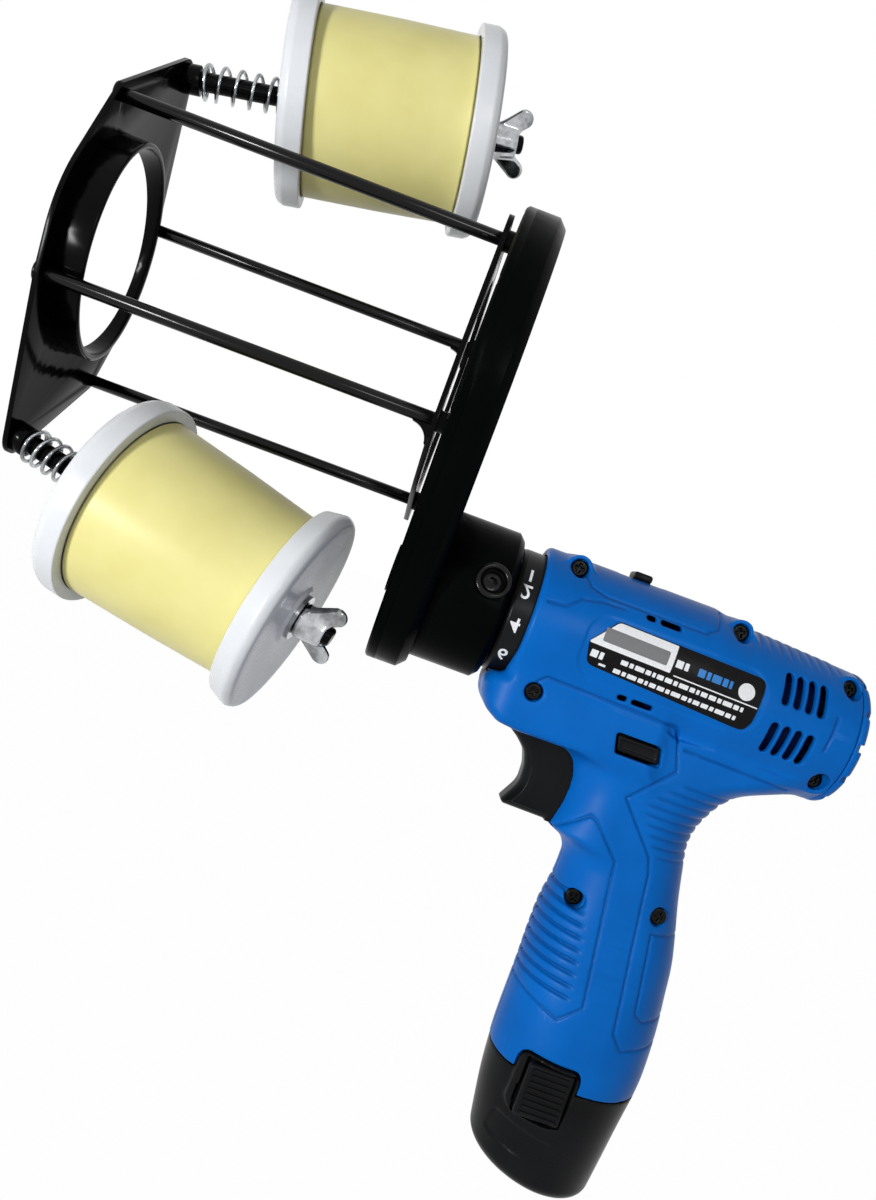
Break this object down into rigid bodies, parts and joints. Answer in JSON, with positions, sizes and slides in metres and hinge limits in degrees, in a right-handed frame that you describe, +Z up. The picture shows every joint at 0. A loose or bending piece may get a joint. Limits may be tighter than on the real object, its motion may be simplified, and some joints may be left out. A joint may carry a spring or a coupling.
{
  "type": "pipe and cable tape wrapping head",
  "caption": "Cordless tape wrapping head: a rotating rod cage with splayed sprung tape spools, geared to a pistol-grip drill with battery",
  "frame": {"origin": "on the cage's turning axis, at the cage side of the near plate, in the mouth of the work bore", "axes": "+X along the cage axis and the drill's spindle axis, from the cage towards the drill; +Z up, with the grip hanging down; +Y completes the right-handed frame"},
  "size_m": [0.2876, 0.119, 0.3594],
  "materials": {
    "black_enamel": "gloss",
    "black_casting": "semi-gloss",
    "bright_steel": "polished",
    "gear_steel": "machined",
    "bronze": "machined",
    "spool_white": "smooth moulded",
    "tape_yellow": "smooth wound tape",
    "core_grey": "pressed card",
    "drill_blue": "fine moulded",
    "black_plastic": "fine moulded",
    "black_screw": "blackened",
    "label_film": "printed film",
    "contact_metal": "plated",
    "cell_wrap": "shrink wrap"
  },
  "bodies": {
    "drill": {"head_case": "black_casting", "head_cover": "black_casting", "head_cover_screws": "black_screw", "rotor_bush": "bronze", "pinion_bushes": "bronze", "clamp_sleeve": "black_casting", "clamp_screw": "black_screw", "gearbox_case": "black_casting", "motor": "gear_steel", "drill_housing_left": "drill_blue", "drill_housing_right": "drill_blue", "housing_screws": "black_screw", "rear_cap": "drill_blue", "label_plate": "label_film", "switch_module": "black_plastic", "terminal_block": "black_plastic"},
    "cage": {"far_plate": "black_enamel", "ring_collar": "black_enamel", "near_plate": "black_enamel", "guide_rod_1": "black_enamel", "guide_rod_2": "black_enamel", "guide_rod_3": "black_enamel", "guide_rod_4": "black_enamel", "rod_end_screws": "black_screw", "rod_spacers": "black_enamel", "ring_gear": "gear_steel", "spool_spindle_1": "black_enamel", "spool_spindle_2": "black_enamel", "tension_spring_1": "bright_steel", "tension_spring_2": "bright_steel", "spool_washers": "bright_steel"},
    "spool_1": {"spool_1_inner_flange": "spool_white", "spool_1_outer_flange": "spool_white", "spool_1_core": "core_grey", "tape_roll_1": "tape_yellow"},
    "spool_2": {"spool_2_inner_flange": "spool_white", "spool_2_outer_flange": "spool_white", "spool_2_core": "core_grey", "tape_roll_2": "tape_yellow"},
    "wing_nut_1": {"wing_nut_1": "bright_steel"},
    "wing_nut_2": {"wing_nut_2": "bright_steel"},
    "spindle": {"drive_pinion": "gear_steel", "output_spindle": "gear_steel"},
    "torque_collar": {"torque_collar": "black_plastic"},
    "trigger": {"trigger": "black_plastic"},
    "direction_selector": {"direction_selector": "black_plastic"},
    "speed_selector": {"speed_selector": "black_plastic"},
    "battery": {"battery_case": "black_plastic", "battery_cells": "cell_wrap", "battery_contacts": "contact_metal"},
    "latch_left": {"battery_latch_left": "black_plastic"},
    "latch_right": {"battery_latch_right": "black_plastic"}
  },
  "joints": [
    {"name": "cage_spin", "type": "hinge", "parent": "drill", "child": "cage", "pos_m": [0, 0, 0], "axis": [1, 0, 0], "continuous": true},
    {"name": "spindle_spin", "type": "hinge", "parent": "drill", "child": "spindle", "pos_m": [0.0132, 0, -0.0645], "axis": [1, 0, 0], "continuous": true},
    {"name": "spool_1_spin", "type": "hinge", "parent": "cage", "child": "spool_1", "pos_m": [-0.05291, 0.02223, 0.0808], "axis": [0.9724, 0.1005, 0.2107], "continuous": true},
    {"name": "spool_2_spin", "type": "hinge", "parent": "cage", "child": "spool_2", "pos_m": [-0.05291, -0.02223, -0.0808], "axis": [0.9724, -0.1005, -0.2107], "continuous": true},
    {"name": "wing_nut_1_turn", "type": "hinge", "parent": "cage", "child": "wing_nut_1", "pos_m": [-0.01304, 0.02635, 0.08943], "axis": [0.9724, 0.1005, 0.2107], "range_deg": [-360, 360]},
    {"name": "wing_nut_2_turn", "type": "hinge", "parent": "cage", "child": "wing_nut_2", "pos_m": [-0.01304, -0.02635, -0.08943], "axis": [0.9724, -0.1005, -0.2107], "range_deg": [-360, 360]},
    {"name": "torque_collar_turn", "type": "hinge", "parent": "drill", "child": "torque_collar", "pos_m": [0.0462, 0, -0.0645], "axis": [1, 0, 0], "range_deg": [-120, 180]},
    {"name": "trigger_pull", "type": "slide", "parent": "drill", "child": "trigger", "axis": [1, 0, 0], "range_m": [0, 0.006], "stiffness_N_per_m": 1200, "springref_m": -0.002},
    {"name": "direction_slide", "type": "slide", "parent": "drill", "child": "direction_selector", "axis": [0, 1, 0], "range_m": [-0.003, 0.003]},
    {"name": "speed_slide", "type": "slide", "parent": "drill", "child": "speed_selector", "axis": [1, 0, 0], "range_m": [-0.004, 0.004]},
    {"name": "battery_slide", "type": "slide", "parent": "drill", "child": "battery", "axis": [0, 0, -1], "range_m": [0, 0.06]},
    {"name": "latch_left_press", "type": "slide", "parent": "battery", "child": "latch_left", "axis": [0, 1, 0], "range_m": [0, 0.002], "stiffness_N_per_m": 400, "springref_m": -0.0005},
    {"name": "latch_right_press", "type": "slide", "parent": "battery", "child": "latch_right", "axis": [0, -1, 0], "range_m": [0, 0.002], "stiffness_N_per_m": 400, "springref_m": -0.0005}
  ],
  "couplings": [
    {"joint": "spindle_spin", "follows": "cage_spin", "ratio": -2.9091}
  ]
}
